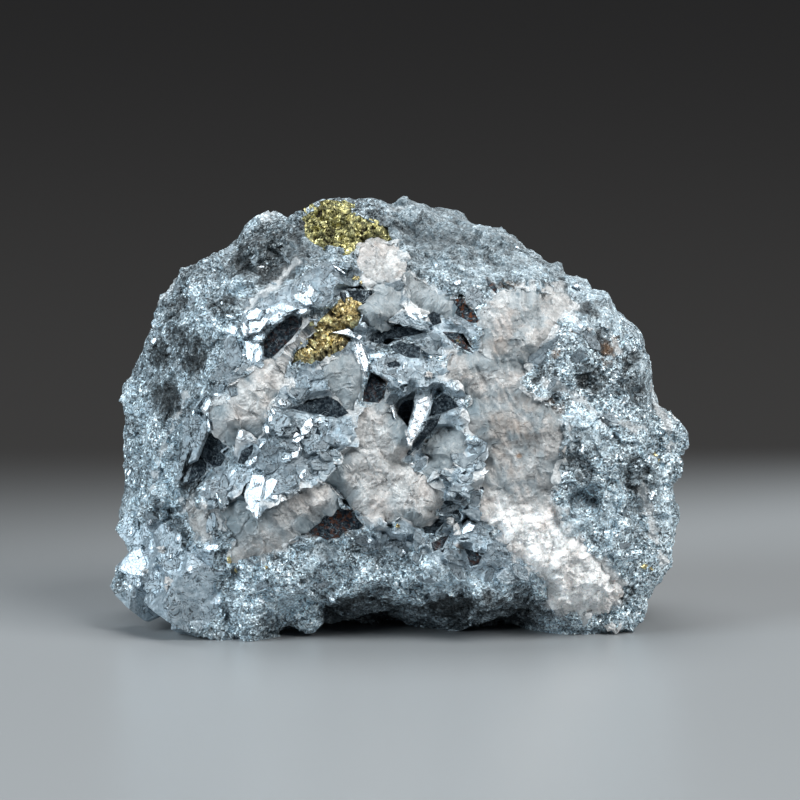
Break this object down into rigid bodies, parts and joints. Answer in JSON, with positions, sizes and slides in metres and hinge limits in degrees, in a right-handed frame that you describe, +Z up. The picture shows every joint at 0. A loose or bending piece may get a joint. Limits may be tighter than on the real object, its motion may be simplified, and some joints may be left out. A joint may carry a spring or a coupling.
{
  "type": "skutterudite specimen",
  "caption": "Hand-sized domed lump of grey metallic skutterudite ore with flat crystal faces, pale calcite veins and brassy chalcopyrite patches, resting on its flattened base.",
  "frame": {"origin": "on the ground under the middle of the rock's length and depth", "axes": "+X to the right along the rock's length as seen from its broken crystal-rich face, -Y out of that face towards the viewer, +Z up"},
  "size_m": [0.0956, 0.0588, 0.0713],
  "materials": {
    "skutterudite": "metallic steel grey, sugary granular with mirror-bright flat crystal faces",
    "calcite": "satin, slightly translucent, stepped cleavage",
    "chalcopyrite": "brassy metallic, granular"
  },
  "bodies": {
    "root": {"skutterudite_ore": "skutterudite", "calcite_heart": "calcite", "calcite_bar": "calcite", "calcite_wing": "calcite", "calcite_crown": "calcite", "calcite_strip": "calcite", "calcite_block": "calcite", "calcite_grey": "calcite", "calcite_shoulder": "calcite", "calcite_chip": "calcite", "calcite_vein": "calcite", "chalcopyrite_crown": "chalcopyrite", "chalcopyrite_band": "chalcopyrite"}
  },
  "joints": []
}
